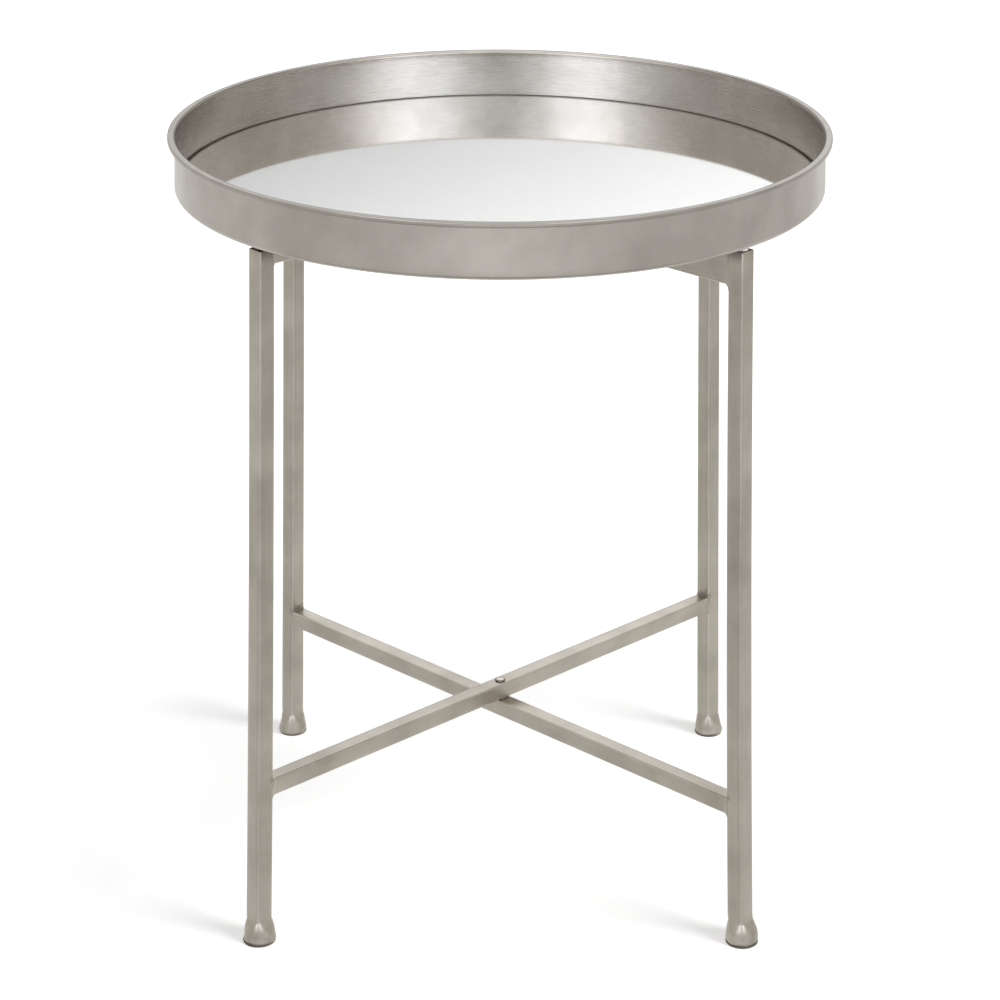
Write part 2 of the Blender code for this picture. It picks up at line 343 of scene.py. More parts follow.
def plain_material(name, dark, light, roughness, scale, bump=0.1, **settings):
    """A dielectric with fine speckle in colour, roughness and bump. Settings name shader inputs."""
    look, tree, shader = new_material(name)
    position = put(tree, "ShaderNodeTexCoord").outputs["Object"]
    speckle = noise_of(tree, position, scale, 4.0, 0.6)
    tree.links.new(mixed(tree, speckle, dark, light), shader.inputs["Base Color"])
    rough = ranged(tree, speckle, 0.3, 0.7, roughness - 0.05, roughness + 0.05)
    tree.links.new(rough, shader.inputs["Roughness"])
    made = put(tree, "ShaderNodeBump", {"Height": speckle, "Strength": bump, "Distance": 0.1 * MM})
    tree.links.new(made.outputs[0], shader.inputs["Normal"])
    for key, value in settings.items():
        shader.inputs[key.replace("_", " ")].default_value = value
    return look


def glass_material():
    """Clear float glass, faintly green, with a trace of haze that varies across the sheet."""
    look, tree, shader = new_material("clear_glass")
    position = put(tree, "ShaderNodeTexCoord").outputs["Object"]
    haze = noise_of(tree, position, 18.0, 3.0)
    colour = mixed(tree, haze, (0.975, 0.982, 0.977), (0.985, 0.99, 0.986))
    tree.links.new(colour, shader.inputs["Base Color"])
    tree.links.new(ranged(tree, haze, 0.3, 0.7, 0.0, 0.012), shader.inputs["Roughness"])
    shader.inputs["Transmission Weight"].default_value = 1.0
    shader.inputs["IOR"].default_value = 1.52
    return look


def silver_material():
    """The mirror's silver coat, seen through the glass."""
    look, tree, shader = new_material("silver_coat")
    position = put(tree, "ShaderNodeTexCoord").outputs["Object"]
    cloud = noise_of(tree, position, 10.0, 2.0)
    tree.links.new(mixed(tree, cloud, (0.94, 0.935, 0.93), (0.96, 0.955, 0.95)), shader.inputs["Base Color"])
    tree.links.new(ranged(tree, cloud, 0.3, 0.7, 0.004, 0.010), shader.inputs["Roughness"])
    shader.inputs["Metallic"].default_value = 1.0
    return look


DEEP_TONE, LIGHT_TONE = (0.47, 0.443, 0.41), (0.55, 0.52, 0.484)
TRAY_METAL = brushed_metal("tray_nickel", grain_round, DEEP_TONE, LIGHT_TONE, 0.27, 0.5, "Z", 0.2)
FRAME_DEEP, FRAME_LIGHT = (0.40, 0.376, 0.328), (0.56, 0.53, 0.474)
LEG_METAL = brushed_metal("leg_nickel", grain_along_z, FRAME_DEEP, FRAME_LIGHT, 0.38, 0.0, None)
BAR_METAL = brushed_metal("bar_nickel", grain_along_x, FRAME_DEEP, FRAME_LIGHT, 0.38, 0.0, None)
RIVET_DEEP, RIVET_LIGHT = (0.50, 0.48, 0.43), (0.66, 0.64, 0.59)
RIVET_METAL = brushed_metal("rivet_nickel", grain_along_x, RIVET_DEEP, RIVET_LIGHT, 0.30, 0.0, None)
ZINC_DEEP, ZINC_LIGHT = (0.30, 0.29, 0.27), (0.46, 0.45, 0.42)
WASHER_METAL = brushed_metal("washer_zinc", grain_along_x, ZINC_DEEP, ZINC_LIGHT, 0.40, 0.0, None)
# The tray's underside gets a darker copy of the metal: painted shade for the shadow under the tray.
SHADED_UNDER_DEEP, SHADED_UNDER_LIGHT = (0.20, 0.19, 0.17), (0.28, 0.265, 0.24)
SHADED_UNDERSIDE = brushed_metal("underside_painted_shade", grain_along_x, SHADED_UNDER_DEEP, SHADED_UNDER_LIGHT, 0.46, 0.0, None)
GLASS_EDGE = plain_material("ground_edge", (0.30, 0.285, 0.24), (0.44, 0.42, 0.36), 0.45, 700)
PAD_LOOK = plain_material("dark_pad", (0.075, 0.068, 0.055), (0.14, 0.13, 0.11), 0.6, 900)


# Tray and mirror ------------------------------------------------------------------------------------


def tray_path(low, high):
    """The middle of the pan's sheet in (radius, height): floor, corner, wall, and a lip that is folded
    out flat, down, and back under itself."""
    rim, crest, under = high.x, high.z, low.z
    wall = rim - WALL_INSET
    half = SHEET / 2
    corner = (wall - CORNER_RADIUS, under + CORNER_RADIUS)
    flare = (wall - SHEET + FLARE_RADIUS, crest - FLARE_RADIUS)
    shoulder = (rim - LIP_CORNER, crest - LIP_CORNER)
    heel = (rim - LIP_CORNER, crest - LIP_HEIGHT + LIP_CORNER)
    back = (rim - LIP_RETURN, crest - LIP_HEIGHT + half)
    path = [(0.0, under + half)] + line((0.0, under + half), (corner[0], under + half), 6)
    path += arc(corner, CORNER_RADIUS - half, -90, 0, 8)
    path += line((wall - half, corner[1]), (wall - half, flare[1]), 8)
    path += arc(flare, FLARE_RADIUS - half, 180, 90, 8)
    path += line((flare[0], crest - half), (shoulder[0], crest - half), 6)
    path += arc(shoulder, LIP_CORNER - half, 90, 0, 6)
    path += line((rim - half, shoulder[1]), (rim - half, heel[1]), 4)
    path += arc(heel, LIP_CORNER - half, 0, -90, 6)
    path += line((heel[0], back[1]), back, 3) + [back]
    return path


def lip_painted_shade(place, high):
    """How much painted shade darkens the lip: its top more than its outer face, and most at the front and
    back. Its inner bend is darkened everywhere but at the back."""
    radius = math.hypot(place.x, place.y)
    flat_start = high.x - WALL_INSET - SHEET + FLARE_RADIUS
    if radius >= flat_start - 0.01 * MM:
        on_top = smooth((place.z - high.z + LIP_CORNER) / LIP_CORNER)
        return 0.2 + on_top * (0.30 - 0.28 * abs(place.x) / radius)
    if place.z < high.z - FLARE_RADIUS:
        return 0.0
    around = smooth(2 * max(abs(place.x), -place.y) / radius - 0.6)
    bend = (flat_start - radius) / FLARE_RADIUS
    return 0.75 * around * smooth(5 * bend) * (1 - smooth((bend - 0.7) / 0.3))


def make_tray():
    low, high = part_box("tray_pan")
    outline = sheet_outline(tray_path(low, high), SHEET)
    outline[0] = (0.0, low.z)
    outline[-1] = (0.0, low.z + SHEET)
    bm = turned(outline, TRAY_STEPS, ripple=0.12 * MM)
    # Painted shade on the lip, stored per vertex.
    painted_shade_layer = bm.verts.layers.float.new("painted_shade")
    for vert in bm.verts:
        vert[painted_shade_layer] = lip_painted_shade(vert.co, high)
    matrix = Matrix.Translation(TRAY_OFF_CENTRE)
    tray = piece("tray", bm, TRAY_METAL, TRAY_BODY, ["tray_pan"], matrix)
    # Painted shade: the pan's downward faces take the darker underside look.
    tray.data.materials.append(SHADED_UNDERSIDE)
    for face in tray.data.polygons:
        if face.normal.z < -0.9 and face.center.z < low.z + 0.5 * SHEET:
            face.material_index = 1
    return tray


def disc_outline(radius, bottom, top, arris):
    outline = [(0.0, bottom), (radius - arris, bottom), (radius, bottom + arris)]
    return outline + [(radius, top - arris), (radius - arris, top), (0.0, top)]


def make_mirror():
    low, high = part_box("mirror_glass")
    matrix = Matrix.Translation(TRAY_OFF_CENTRE)
    glass = turned(disc_outline(high.x, low.z, high.z, 0.4 * MM), TRAY_STEPS)
    mirror = piece("mirror", glass, glass_material(), TRAY_BODY, ["mirror_glass"], matrix, 20)
    mirror.data.materials.append(GLASS_EDGE)
    for face in mirror.data.polygons:
        if abs(face.normal.z) < 0.9:
            face.material_index = 1
    top = low.z - 0.02 * MM
    coat = turned(disc_outline(high.x - 0.3 * MM, top - SILVERING, top, 0.02 * MM), TRAY_STEPS)
    piece("mirror_silvering", coat, silver_material(), TRAY_BODY, matrix=matrix, smooth_angle=20)


# Legs -----------------------------------------------------------------------------------------------


class Leg:
    """One leg's place in its frame, and the small ways in which hand work made it differ.

    bow is its sideways drift at the top, middle and floor, and foot_shift its foot's, along world X.
    Scales are of the tube's side and of the foot's radius. joint_error is how far above its proper
    place the stretcher was welded on."""

    def __init__(self, corner, body, bow, foot_shift, tube_scale, foot_scale, joint_error, seed):
        self.corner, self.body, self.seed = corner, body, seed
        self.node = f"{corner}_leg"
        centre = node_centre(self.node)
        self.centre = Vector((centre.x, centre.y, 0))
        self.turn = math.atan2(centre.y, centre.x)
        low, high = local_size(self.node, self.turn)
        foot_low, foot_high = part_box(f"{corner}_foot")
        self.top = high.z
        self.half = tube_scale * (high.y - low.y) / 2
        self.foot_radius = foot_scale * (foot_high.x - foot_low.x) / 2
        self.bow, self.foot_shift, self.joint_error = bow, foot_shift, joint_error
        self.matrix = Matrix.Translation(self.centre) @ Matrix.Rotation(self.turn, 4, "Z")

    def drift(self, z):
        """The leg's offset at height z, in its own turned axes."""
        top, middle, floor = self.bow
        t = z / self.top
        across = floor * (1 - t) * (1 - 2 * t) + middle * 4 * t * (1 - t) + top * t * (2 * t - 1)
        across += self.foot_shift * smooth((1.4 * FOOT_TOP - z) / FOOT_TOP)
        return Vector((across * MM * math.cos(self.turn), -across * MM * math.sin(self.turn)))


def leg_section(leg, z):
    """(half width, corner radius) of a leg at height z: square above, a round bell at the floor.

    The corners start to round off above the foot, while the leg keeps its width across them."""
    soft_top = 1.4 * FOOT_TOP
    square = TUBE_CORNER / leg.half
    rounding = square + (0.97 - square) * smooth(1.15 * (soft_top - z) / (soft_top - FOOT_WIDEST))
    across = leg.half * (CORNER_REACH - (CORNER_REACH - 1) * square)
    if z < FOOT_WIDEST:
        across = leg.foot_radius * (1 - 0.015 * ((FOOT_WIDEST - z) / (FOOT_WIDEST - PAD_HEIGHT)) ** 2)
    elif z < FOOT_TOP:
        t = (FOOT_TOP - z) / (FOOT_TOP - FOOT_WIDEST)
        across += (leg.foot_radius - across) * (0.3 * t + 0.7 * t**0.6)
    half = across / (CORNER_REACH - (CORNER_REACH - 1) * rounding)
    return half, half * rounding


def leg_heights(top, joint):
    """Ring heights: close together in the foot and at the joint, wide apart between."""
    heights = [PAD_HEIGHT + (FOOT_WIDEST - PAD_HEIGHT) * i / 4 for i in range(4)]
    heights += [FOOT_WIDEST + (FOOT_TOP - FOOT_WIDEST) * i / 16 for i in range(16)]
    heights += [FOOT_TOP + (top - FOOT_TOP) * i / 40 for i in range(40)]
    heights += [FOOT_TOP * (1 + 0.06 * i) for i in range(8)]
    heights += [joint + 1.5 * MM * i for i in range(-8, 9)]
    ordered = []
    for z in sorted(z for z in heights if z < top - 0.5 * MM):
        if not ordered or z - ordered[-1] > 0.3 * MM:
            ordered.append(z)
    return ordered + [top - 0.4 * MM, top]


def forged(leg, x, y, z):
    """The dents that hammering leaves in a foot, fading out up the leg, and the leg's slow bow."""
    share = smooth((1.3 * FOOT_TOP - z) / FOOT_TOP)
    where = Vector((x, y, z)) * 150 + Vector((leg.seed, 2 * leg.seed, 0))
    broad = noise.noise(where * 0.5) * 0.9 * MM
    dent = (broad + noise.noise(where) * 0.7 * MM) * share
    length = math.hypot(x, y)
    drift = leg.drift(z)
    return x * (1 + dent / length) + drift.x, y * (1 + dent / length) + drift.y


def scorch(x, z, joint):
    """How much the weld's heat has darkened the inward side of a leg, just above the joint, and how
    much hammering has dulled the foot."""
    near = math.exp(-(((z - joint - 1.2 * MM) / (2.3 * MM)) ** 2))
    return 0.58 * near * smooth(-x / (3 * MM) - 0.6) + 0.16 * smooth((1.3 * FOOT_TOP - z) / FOOT_TOP)


def make_leg(leg, joint):
    """A leg with its foot forged out of the tube's end, and a pocket at the top for the end plug."""
    rings, stains = [], []
    for z in leg_heights(leg.top, joint):
        half, bend = leg_section(leg, z)
        if z == leg.top:
            half -= 0.3 * MM
        outline = rounded_outline(half, half, min(bend, half))
        # The brighter edges, wear and painted highlight, fade out down the foot.
        fade = smooth((z - 0.6 * FOOT_TOP) / (0.4 * FOOT_TOP))
        rings.append([(*forged(leg, x, y, z), z, edge * fade) for x, y, edge in outline])
        stains.append([scorch(x, z, joint) for x, y, _ in outline])
    bore = leg.half - TUBE_WALL
    for z in (leg.top, leg.top - 9 * MM):
        outline = rounded_outline(bore, bore, TUBE_CORNER / 2)
        drift = leg.drift(z)
        rings.append([(x + drift.x, y + drift.y, z, 0) for x, y, _ in outline])
        stains.append([0.0] * len(outline))
    bm = lofted(rings, stains)
    nodes = [leg.node, f"{leg.corner}_foot"]
    piece(f"{leg.corner}_leg_and_foot", bm, LEG_METAL, leg.body, nodes, leg.matrix, 40)
    make_pad(leg)


def make_pad(leg):
    """The dark pad under a foot, slightly crushed outwards at the floor."""
    radius = leg.foot_radius
    outline = [(0.0, 0.0), (0.96 * radius, 0.0), (0.995 * radius, 0.2 * MM), (1.005 * radius, 0.6 * MM)]
    outline += [(0.99 * radius, PAD_HEIGHT - 0.1 * MM), (0.90 * radius, PAD_HEIGHT + 0.05 * MM)]
    outline += [(0.0, PAD_HEIGHT)]
    bm = turned(outline, 48, ripple=0.1 * MM)
    drift = leg.drift(0)
    matrix = leg.matrix @ Matrix.Translation((drift.x, drift.y, 0))
    piece(f"{leg.corner}_pad", bm, PAD_LOOK, leg.body, [f"{leg.corner}_glide"], matrix)


# Rails and stretchers -------------------------------------------------------------------------------


class Weld:
    """A weld ground smooth round a bar's end: how far it reaches along the bar, and how much it adds
    to the bar's top and bottom where it meets the leg."""

    def __init__(self, reach, top, bottom):
        self.reach, self.top, self.bottom = reach, top, bottom


def hollow(distance, size):
    """The height of a concave fillet of one size, at a distance from the corner it fills."""
    gone = max(0.0, 1 - distance / size)
    return size * (1 - math.sqrt(1 - gone**2))


def bar_mesh(reach, half_width, low, high, weld, ends, seed):
    """A bar along X whose section is a rounded rectangle from low to high, swollen by its end welds.

    reach is the distance from the middle to the legs' faces. ends gives, for the -X and the +X end,
    the leg's (sideways offset, lift, half width). The bar goes on into each leg's rounded corner,
    flush with the leg's sides."""
    fine = 12
    stations = [reach + TUBE_CORNER, reach + 0.4 * TUBE_CORNER]
    stations += [reach - weld.reach * (1 - math.cos(math.pi / 2 * i / fine)) for i in range(fine + 1)]
    middle = [(reach - weld.reach) * (2 * i / 24 - 1) for i in range(1, 24)]
    rings, stains = [], []
    for x in [-x for x in stations] + middle + stations[::-1]:
        t = (x / reach + 1) / 2
        aside, lift, _ = [a + (b - a) * t for a, b in zip(*ends)]
        distance = max(0.0, reach - abs(x))
        near = smooth(1 - distance / weld.reach)
        bottom, top = low - hollow(distance, weld.bottom), high + hollow(distance, weld.top)
        flush = half_width + (ends[x > 0][2] - half_width) * near
        half_depth = (top - bottom) / 2
        ring, row = [], []
        for y, z, edge in rounded_outline(flush, half_depth, BAR_CORNER):
            lump = 1 + 0.03 * near * noise.noise(Vector((x, y, z)) * 600 + Vector((seed, 0, 0)))
            ring.append((x, aside + y, lift + (bottom + top) / 2 + z * lump, edge * (1 - 0.6 * near)))
            row.append(0.45 * near**3 * smooth(z / half_depth))
        rings.append(ring)
        stains.append(row)
    return lofted(rings, stains)


def box_mesh(half_x, half_y, low, high):
    bm = bmesh.new()
    bmesh.ops.create_cube(bm, size=1)
    bmesh.ops.scale(bm, vec=(2 * half_x, 2 * half_y, high - low), verts=bm.verts)
    bmesh.ops.translate(bm, vec=(0, 0, (low + high) / 2), verts=bm.verts)
    return bm


def carved(bm, cutters):
    """Cuts one bmesh with others and returns the result."""
    made = []
    for part in (bm, *cutters):
        bmesh.ops.recalc_face_normals(part, faces=part.faces)
        mesh = bpy.data.meshes.new("carving")
        part.to_mesh(mesh)
        part.free()
        made.append(bpy.data.objects.new("carving", mesh))
        bpy.context.scene.collection.objects.link(made[-1])
    for cutter in made[1:]:
        modifier = made[0].modifiers.new("cut", "BOOLEAN")
        modifier.object, modifier.operation, modifier.solver = cutter, "DIFFERENCE", "EXACT"
    bpy.context.view_layer.update()
    result = bmesh.new()
    result.from_mesh(made[0].evaluated_get(bpy.context.evaluated_depsgraph_get()).to_mesh())
    for obj in made:
        bpy.data.objects.remove(obj, do_unlink=True)
    return result


def make_bar(node, pair, weld, seed, notch=None, extra=(0.0, 0.0, 0.0)):
    """A rail or stretcher between a pair of legs, of which the second stands at the bar's +X end.

    A notch, given as (half length, floor height), opens the tube from above so that the crossing rail
    can pass. extra is what finishing adds to the half width, the bottom and the top."""
    first, second = pair
    low, high = local_size(node, second.turn)
    leg_low, _ = local_size(second.node, second.turn)
    half_width = (high.y - low.y) / 2
    height = (low.z + high.z) / 2
    lifts = [leg.joint_error if height < second.top / 2 else 0.0 for leg in pair]
    ends = (
        (-first.drift(height).y, lifts[0], first.half),
        (second.drift(height).y, lifts[1], second.half),
    )
    bm = bar_mesh(leg_low.x, half_width + extra[0], low.z - extra[1], high.z + extra[2], weld, ends, seed)
    if notch:
        half_length, floor = notch
        core = box_mesh(leg_low.x + 0.01, half_width - TUBE_WALL, low.z + TUBE_WALL, high.z - TUBE_WALL)
        window = box_mesh(half_length, 2 * half_width, floor, high.z + 0.01)
        bm = carved(bm, (core, window))
    matrix = Matrix.Rotation(second.turn, 4, "Z")
    piece(f"{node}_bar", bm, BAR_METAL, second.body, [node], matrix)


def make_rivet(node):
    """A nearly flat rivet with a stamped ring, and a tail that is hammered nearly flush."""
    low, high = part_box(node)
    head = high.x
    shank = 0.66 * head
    base = high.z - 1.5 * MM
    tail = low.z + 1.1 * MM
    outline = [(0.0, tail), (0.8 * head, tail + 0.05 * MM), (0.95 * head, tail + 0.25 * MM)]
    outline += [(0.9 * head, low.z + 1.5 * MM), (shank, low.z + 1.5 * MM), (shank, base)]
    outline += [(0.99 * head, base), (head, base + 0.15 * MM), (head, base + 0.35 * MM)]
    outline += [(0.95 * head, base + 0.55 * MM), (0.88 * head, base + 0.60 * MM)]
    outline += [(0.83 * head, base + 0.50 * MM), (0.77 * head, base + 0.66 * MM)]
    outline += [(0.6 * head, base + 0.80 * MM), (0.3 * head, base + 0.90 * MM)]
    outline += [(0.0, base + 0.93 * MM)]
    bm = turned(outline, 48, ripple=0.08 * MM)
    # Painted shade: the outer ring of the head and of the tail is darkened, as the dark outline where the
    # rivet meets the bars.
    stain_and_shade = bm.verts.layers.float.new("stain_and_shade")
    for vert in bm.verts:
        radius = math.hypot(vert.co.x, vert.co.y)
        vert[stain_and_shade] = 0.85 if radius > 0.80 * head else 0.0
    return piece(f"{node}_turned", bm, RIVET_METAL, SLIM_BODY, [node], smooth_angle=60)


def make_frames():
    legs = [
        Leg("front_left", SLIM_BODY, (-0.2, 0.1, -0.75), 0.4, 1.04, 1.02, 0.1 * MM, 11),
        Leg("back_right", SLIM_BODY, (0.3, -0.2, -0.05), 0.2, 1.01, 0.955, -0.5 * MM, 18),
        Leg("front_right", DEEP_BODY, (0.25, -0.6, 0.7), 1.0, 1.035, 1.02, 0.1 * MM, 25),
        Leg("back_left", DEEP_BODY, (-0.2, 0.25, 0.1), 0.4, 1.0, 0.955, -0.5 * MM, 32),
    ]
    front_left, back_right, front_right, back_left = legs
    slim, deep = (front_left, back_right), (back_left, front_right)
    for pair, stretcher in ((slim, "upper_stretcher"), (deep, "lower_stretcher")):
        for leg in pair:
            make_leg(leg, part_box(stretcher)[1].z + leg.joint_error)
        make_bar(stretcher, pair, Weld(3.0 * MM, 0.7 * MM, 1.5 * MM), 2, extra=STRETCHER_EXTRA)
    make_bar("slim_top_rail", slim, Weld(1.5 * MM, 0.05 * MM, 1.2 * MM), 1)
    notch = 95 * MM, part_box("top_pivot_washer")[0].z - 0.3 * MM
    make_bar("deep_top_rail", deep, Weld(4.0 * MM, 0.05 * MM, 3.8 * MM), 3, notch)
    make_rivet("top_pivot_rivet")
    make_rivet("stretcher_pivot_rivet")


def finish_fittings():
    """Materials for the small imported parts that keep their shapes."""
    # The front-left bumper gets a dark copy of the milky bumper look: painted shade, as the tray shades it
    # from the key light.
    bumper_in_shade = plain_material("bumper_painted_shade", (0.10, 0.09, 0.07), (0.22, 0.20, 0.16), 0.45, 300)
    looks = {
        "front_left_bumper": bumper_in_shade,
        "bumper": plain_material("milky_bumper", (0.82, 0.81, 0.78), (0.93, 0.92, 0.90), 0.30, 300),
        "plug": plain_material("dark_plug", (0.035, 0.033, 0.028), (0.08, 0.075, 0.065), 0.55, 1200),
        "adhesive": plain_material("adhesive_film", (0.66, 0.64, 0.58), (0.80, 0.78, 0.72), 0.5, 90),
        "washer": WASHER_METAL,
    }
    for name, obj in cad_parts.items():
        for ending, look in looks.items():
            if name.endswith(ending):
                obj.data.materials.clear()
                obj.data.materials.append(look)
                break


# Studio ---------------------------------------------------------------------------------------------

# The camera looks straight ahead with its lens shifted down, so that upright legs stay upright.
CAMERA_PLACE = Vector((0.0, -2.1261, 1.0618))
CAMERA_LENS = 105.53
CAMERA_ROLL = math.radians(-0.15)
LENS_SHIFT = {"shift_x": -0.0037, "shift_y": -1.1362}

# The floor's tones as the metal and the mirror reflect it. FLOOR_LIFT is for its palest patches, and
# POOL_PLACE is the middle of a pale pool on it. FLOOR_FILL is its glow to the camera, near and far.
FLOOR_TONE = (0.67, 0.66, 0.645)
FLOOR_FRONT = (0.52, 0.51, 0.49)
FLOOR_BACK = (0.88, 0.875, 0.86)
FLOOR_AHEAD = (0.95, 0.94, 0.935)
FLOOR_FAR_BACK = (0.45, 0.44, 0.42)
FLOOR_LIFT = (1.15, 1.14, 1.11)
POOL_PLACE = (0.38, 0.14, 0.0)
FLOOR_FILL = (0.53, 0.74)

# The room's tones, the same way. The two SHADE values darken what is there, and WORLD_FILL is the
# little light that the room adds to matt surfaces.
HORIZON_SHADE = (0.42, 0.42, 0.42)
LOW_FRONT_SHADE = (0.93, 0.93, 0.93)
OVERHEAD_TONE = (1.06, 1.04, 0.99)
CEILING_TONE = (0.80, 0.81, 0.82)
FRONT_TONE = (0.68, 0.65, 0.60)
FRONT_CENTRE_TONE = (0.46, 0.445, 0.42)
SIDE_TONE = (0.60, 0.575, 0.54)
SIDE_BACK_TONE = (0.80, 0.775, 0.74)
WORLD_FILL = 0.18

# Two soft panels, by their bearing from straight ahead of the table and their spread, in degrees.
PANEL_TONE = (3.0, 3.12, 3.35)
PANEL_AZIMUTHS = (-32, 31.5)
PANEL_SPREAD = 12.2

KEY_ENERGY = 3.05
KEY_SPREAD = math.radians(30)
KEY_AZIMUTH, KEY_ELEVATION = math.radians(61), math.radians(24)


def make_camera():
    """The shift holds only at the camera's own place, so that other views stay centred."""
    data = bpy.data.cameras.new("camera")
    data.lens, data.sensor_width = CAMERA_LENS, 36.0
    data.clip_start, data.clip_end = 0.01, 60
    camera = bpy.data.objects.new("camera", data)
    bpy.context.scene.collection.objects.link(camera)
    camera.location = CAMERA_PLACE
    camera.rotation_euler = (math.pi / 2, CAMERA_ROLL, 0)
    for setting, shift in LENS_SHIFT.items():
        driver = data.driver_add(setting).driver
        driver.type = "SCRIPTED"
        for name, channel in (("x", "LOC_X"), ("y", "LOC_Y"), ("z", "LOC_Z")):
            variable = driver.variables.new()
            variable.name, variable.type = name, "TRANSFORMS"
            target = variable.targets[0]
            target.id, target.transform_type, target.transform_space = camera, channel, "WORLD_SPACE"
        distance = f"abs(x) + abs(y - {CAMERA_PLACE.y}) + abs(z - {CAMERA_PLACE.z})"
        driver.expression = f"{shift} if {distance} < 0.001 else 0"
    bpy.context.scene.camera = camera


def backward(tree, x, y):
    """How far a direction points to the back of the room, whose axis is turned a little."""
    return math_node(tree, "ADD", y, math_node(tree, "MULTIPLY", x, 0.07))


def make_floor():
    """A pale floor that glows to the camera and, with the key light, is washed out except in the soft
    shadows beside the feet. In the metal's reflections it is dimmer towards the camera's side of the room."""
    bm = bmesh.new()
    bmesh.ops.create_grid(bm, x_segments=1, y_segments=1, size=30)
    mesh = bpy.data.meshes.new("floor")
    bm.to_mesh(mesh)
    bm.free()
    floor = bpy.data.objects.new("floor", mesh)
    bpy.context.scene.collection.objects.link(floor)
    floor.location.z = -0.05 * MM
    look, tree, shader = new_material("pale_floor")
    seen = put(tree, "ShaderNodeLightPath").outputs["Is Camera Ray"]
    position = put(tree, "ShaderNodeTexCoord").outputs["Object"]
    away = put(tree, "ShaderNodeVectorMath", {0: position}, operation="LENGTH").outputs["Value"]
    incoming = put(tree, "ShaderNodeNewGeometry").outputs["Incoming"]
    parts = put(tree, "ShaderNodeSeparateXYZ", {0: incoming}).outputs
    # Seen from the table, the floor is bright to the back and straight ahead, and dim between.
    ahead = parts[1]
    front_tone = mixed(tree, ranged(tree, away, 1.2, 0.95), FLOOR_TONE, FLOOR_FRONT)
    back_tone = mixed(tree, ranged(tree, ahead, -0.3, -1.0), FLOOR_TONE, FLOOR_BACK)
    back_tone = mixed(tree, ranged(tree, away, 1.35, 1.05), back_tone, FLOOR_BACK)
    behind = ranged(tree, backward(tree, parts[0], ahead), 0.08, -0.08)
    reflected = mixed(tree, behind, front_tone, back_tone)
    close = math_node(tree, "MULTIPLY", ranged(tree, away, 0.5, 0.2), 0.25)
    grazing = math_node(tree, "MULTIPLY", ranged(tree, ahead, -0.70, -0.85), 0.5)
    reflected = mixed(tree, math_node(tree, "MAXIMUM", close, grazing), reflected, FLOOR_LIFT)
    place = put(tree, "ShaderNodeSeparateXYZ", {0: position}).outputs
    left = math_node(tree, "MULTIPLY", ranged(tree, place[0], -0.40, -0.64), ranged(tree, ahead, -0.4, -0.2))
    left = math_node(tree, "MULTIPLY", left, ranged(tree, ahead, 0.08, -0.04))
    reflected = mixed(tree, math_node(tree, "MULTIPLY", left, 0.25), reflected, FLOOR_LIFT)
    offset = put(tree, "ShaderNodeVectorMath", {0: position, 1: POOL_PLACE}, operation="SUBTRACT").outputs[0]
    offset = put(tree, "ShaderNodeVectorMath", {0: offset}, operation="LENGTH").outputs["Value"]
    reflected = mixed(tree, ranged(tree, offset, 0.32, 0.08), reflected, FLOOR_BACK, "LIGHTEN")
    reflected = mixed(tree, ranged(tree, ahead, 0.84, 0.93), reflected, FLOOR_AHEAD)
    reflected = mixed(tree, ranged(tree, ahead, -0.965, -0.99), reflected, FLOOR_FAR_BACK)
    tree.links.new(mixed(tree, seen, (0, 0, 0), (0.9, 0.9, 0.9)), shader.inputs["Base Color"])
    fill = ranged(tree, away, 0.30, 0.50, *FLOOR_FILL)
    fill = put(tree, "ShaderNodeCombineXYZ", {0: fill, 1: fill, 2: fill}).outputs[0]
    tree.links.new(mixed(tree, seen, reflected, fill), shader.inputs["Emission Color"])
    shader.inputs["Emission Strength"].default_value = 1.0
    shader.inputs["Roughness"].default_value = 0.9
    shader.inputs["Specular IOR Level"].default_value = 0.0
    mesh.materials.append(look)


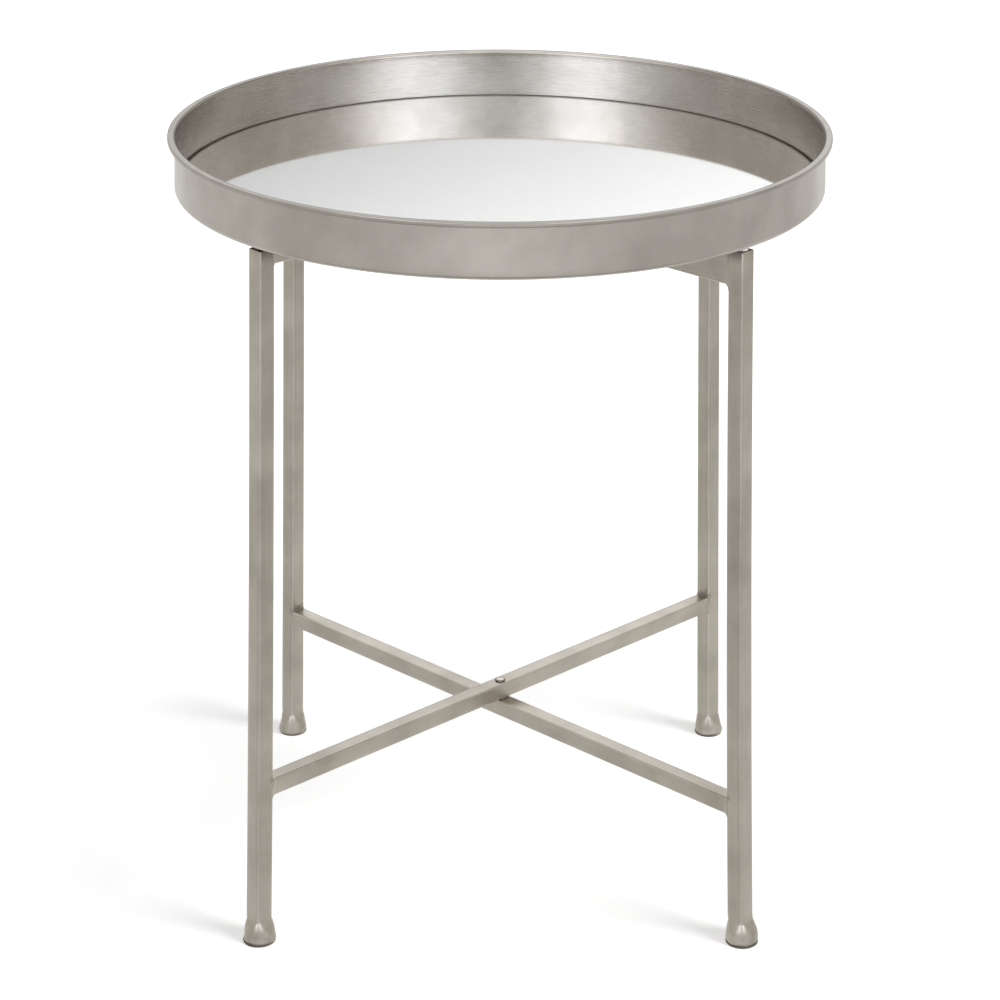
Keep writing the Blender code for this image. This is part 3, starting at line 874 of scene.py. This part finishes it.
def make_world():
    """A studio seen only in reflections: bright behind the table and at its sides, dim in front, with
    two large soft panels either side of the camera."""
    world = bpy.data.worlds.new("studio")
    bpy.context.scene.world = world
    world.use_nodes = True
    tree = world.node_tree
    tree.nodes.clear()
    direction = put(tree, "ShaderNodeTexCoord").outputs["Generated"]
    parts = put(tree, "ShaderNodeSeparateXYZ", {0: direction})
    to_right, to_back, up = parts.outputs
    # The wall behind brightens to the right and upwards, as the mirror shows.
    slope = math_node(tree, "MULTIPLY", to_right, 2.5)
    slope = math_node(tree, "ADD", slope, math_node(tree, "MULTIPLY", up, 6.3))
    backdrop = math_node(tree, "ADD", slope, -0.73)
    backdrop = math_node(tree, "MINIMUM", math_node(tree, "MAXIMUM", backdrop, 0.64), 1.18)
    backdrop = math_node(tree, "ADD", backdrop, ranged(tree, up, 0.30, 0.45, 0.0, 0.28))
    backdrop = put(tree, "ShaderNodeCombineXYZ", {0: backdrop, 1: backdrop, 2: backdrop}).outputs[0]
    sideways = math_node(tree, "ABSOLUTE", to_right)
    aside = ranged(tree, sideways, 0.12, 0.45)
    side = mixed(tree, ranged(tree, sideways, 0.5, 0.95), SIDE_BACK_TONE, SIDE_TONE)
    behind = ranged(tree, backward(tree, to_right, to_back), -0.08, 0.08)
    front = mixed(tree, ranged(tree, sideways, 0.1, 0.8), FRONT_CENTRE_TONE, FRONT_TONE)
    front = mixed(tree, ranged(tree, up, 0.02, 0.16), front, LOW_FRONT_SHADE, "MULTIPLY")
    front = mixed(tree, ranged(tree, up, 0.30, 0.48), front, OVERHEAD_TONE)
    # The mirror shows a lighter room than the metal does from behind the table, and a pale ceiling.
    rays = put(tree, "ShaderNodeLightPath").outputs
    haze = ranged(tree, up, 0.05, 0.55, 0.68, 1.0)
    haze = put(tree, "ShaderNodeCombineXYZ", {0: haze, 1: haze, 2: haze}).outputs[0]
    front = mixed(tree, rays["Is Transmission Ray"], front, haze)
    back = mixed(tree, aside, backdrop, side)
    horizon = math_node(tree, "MULTIPLY", ranged(tree, up, 0.19, 0.03), ranged(tree, sideways, 0.6, 0.35))
    back = mixed(tree, horizon, back, HORIZON_SHADE, "MULTIPLY")
    tone = mixed(tree, behind, front, back)
    ceiling = math_node(tree, "MULTIPLY", ranged(tree, up, 0.31, 0.52), rays["Is Transmission Ray"])
    tone = mixed(tree, ceiling, tone, CEILING_TONE)
    for azimuth in PANEL_AZIMUTHS:
        a = math.radians(azimuth)
        inputs = {0: direction, 1: Vector((math.sin(a), -math.cos(a), 0.25)).normalized()}
        facing = put(tree, "ShaderNodeVectorMath", inputs, operation="DOT_PRODUCT").outputs["Value"]
        degrees = math_node(tree, "DEGREES", math_node(tree, "ARCCOSINE", facing))
        spread = math_node(tree, "POWER", math_node(tree, "DIVIDE", degrees, PANEL_SPREAD), 2)
        panel = math_node(tree, "EXPONENT", math_node(tree, "MULTIPLY", spread, -0.5))
        tone = mixed(tree, panel, tone, PANEL_TONE)
    tone = mixed(tree, rays["Is Diffuse Ray"], tone, (WORLD_FILL, WORLD_FILL, WORLD_FILL))
    tone = mixed(tree, rays["Is Camera Ray"], tone, (1.05, 1.05, 1.05))
    background = put(tree, "ShaderNodeBackground", {"Color": tone, "Strength": 1.0})
    output = put(tree, "ShaderNodeOutputWorld")
    tree.links.new(background.outputs[0], output.inputs[0])


def make_key():
    """A broad soft light from the right and front, which throws each foot's short shadow leftwards."""
    data = bpy.data.lights.new("key", "SUN")
    data.energy, data.angle = KEY_ENERGY, KEY_SPREAD
    light = bpy.data.objects.new("key", data)
    bpy.context.scene.collection.objects.link(light)
    level = math.cos(KEY_ELEVATION)
    away = Vector((math.sin(KEY_AZIMUTH) * level, -math.cos(KEY_AZIMUTH) * level, math.sin(KEY_ELEVATION)))
    light.rotation_euler = away.to_track_quat("Z", "Y").to_euler()
    light.visible_glossy = False
    light.visible_transmission = False


def make_studio():
    make_camera()
    make_floor()
    make_world()
    make_key()
    bpy.context.scene.view_settings.view_transform = "Standard"


make_tray()
make_mirror()
make_frames()
finish_fittings()
make_studio()
